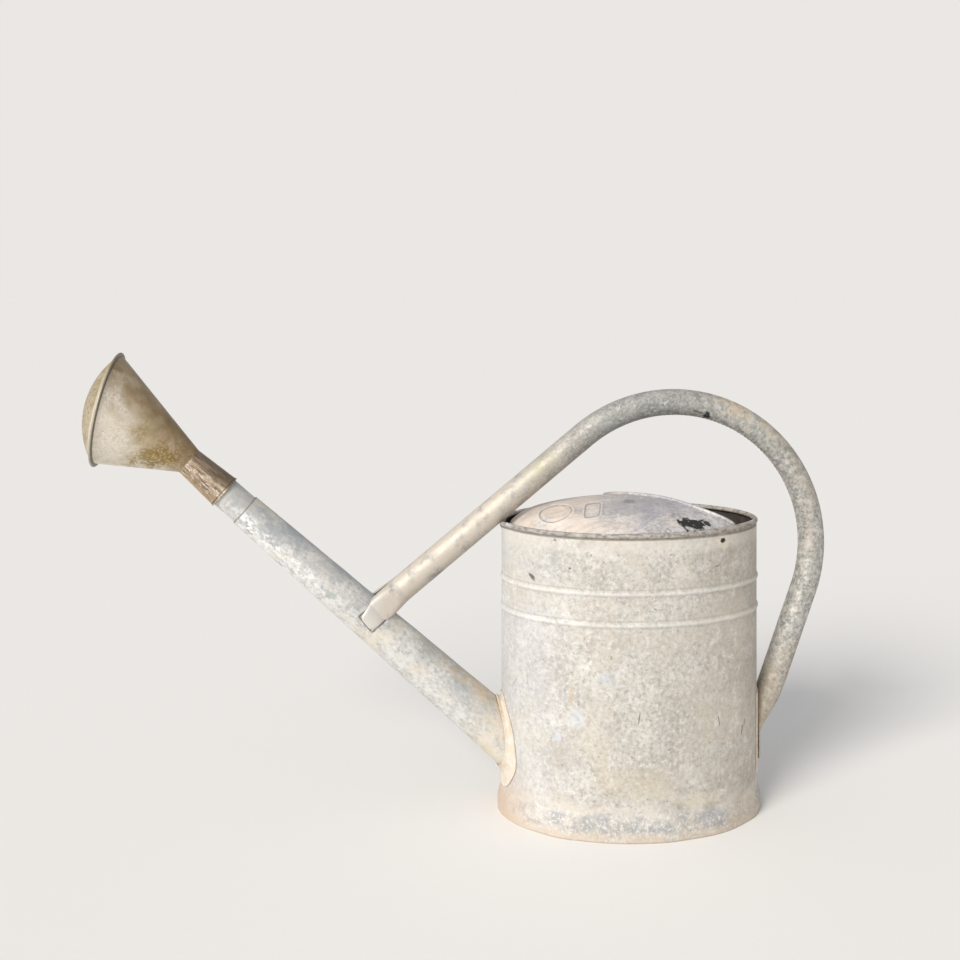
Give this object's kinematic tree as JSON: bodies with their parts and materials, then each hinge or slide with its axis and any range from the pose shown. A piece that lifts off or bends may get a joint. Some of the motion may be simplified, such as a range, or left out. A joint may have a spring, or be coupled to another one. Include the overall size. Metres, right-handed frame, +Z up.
{
  "type": "watering can",
  "caption": "Weathered galvanised oval watering can with a half hood over the filling mouth, a straight spout with a pull-off brass rose, and one hoop handle from spout to back.",
  "frame": {"origin": "middle of the whole part's footprint, on the surface that the can stands on", "axes": "+Z up, +X towards the handle's back and -X towards the rose, +Y to the can's far side with the rose on the left"},
  "size_m": [0.7934, 0.189, 0.4887],
  "materials": {
    "body_zinc": "chalky weathered galvanised sheet, matt",
    "hood_zinc": "weathered galvanised sheet, dull, stained",
    "spout_zinc": "mottled galvanised spangle, satin",
    "flange_zinc": "galvanised sheet with pale rust and solder stains",
    "handle_zinc": "blue-grey galvanised tube, satin, worn",
    "wire_steel": "dull steel wire inside the rolled edges",
    "collar_brass": "tarnished copper-brown, streaked",
    "rose_brass": "tarnished brass with a pale patina"
  },
  "bodies": {
    "can": {"body_wall": "body_zinc", "rim_wire": "wire_steel", "bottom_plate": "body_zinc", "hood": "hood_zinc", "hood_edge_wire": "wire_steel", "spout_tube": "spout_zinc", "spout_flange": "flange_zinc", "spout_ferrule": "spout_zinc", "handle_tube": "handle_zinc", "handle_back_patch": "flange_zinc"},
    "rose": {"rose_collar": "collar_brass", "rose_cone": "rose_brass", "rose_face": "rose_brass"}
  },
  "joints": [
    {"name": "rose_pull", "type": "slide", "parent": "can", "child": "rose", "axis": [-0.7443, 0, 0.6678], "range_m": [0, 0.03]}
  ]
}
